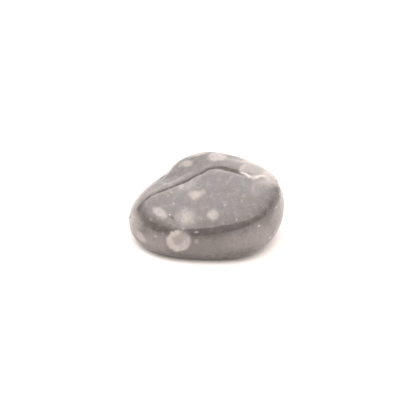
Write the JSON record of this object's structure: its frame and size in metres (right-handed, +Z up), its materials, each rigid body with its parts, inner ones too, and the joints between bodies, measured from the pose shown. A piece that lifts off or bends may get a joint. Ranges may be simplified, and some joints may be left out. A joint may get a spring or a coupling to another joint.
{
  "type": "river pebble",
  "caption": "Smooth water-worn pebble: a rounded wedge of polished grey stone with a sloping front face, a soft crest and cream spots, which rests on its flat side.",
  "frame": {"origin": "middle of the stone's footprint, on the surface that it rests on", "axes": "+X along the stone's length, -Y towards its broad sloping face, +Z up from its flat underside"},
  "size_m": [0.0482, 0.0396, 0.0236],
  "materials": {
    "stone": "polished to a gloss, warm grey with fine mottling and cream spots"
  },
  "bodies": {
    "root": {"pebble": "stone"}
  },
  "joints": []
}
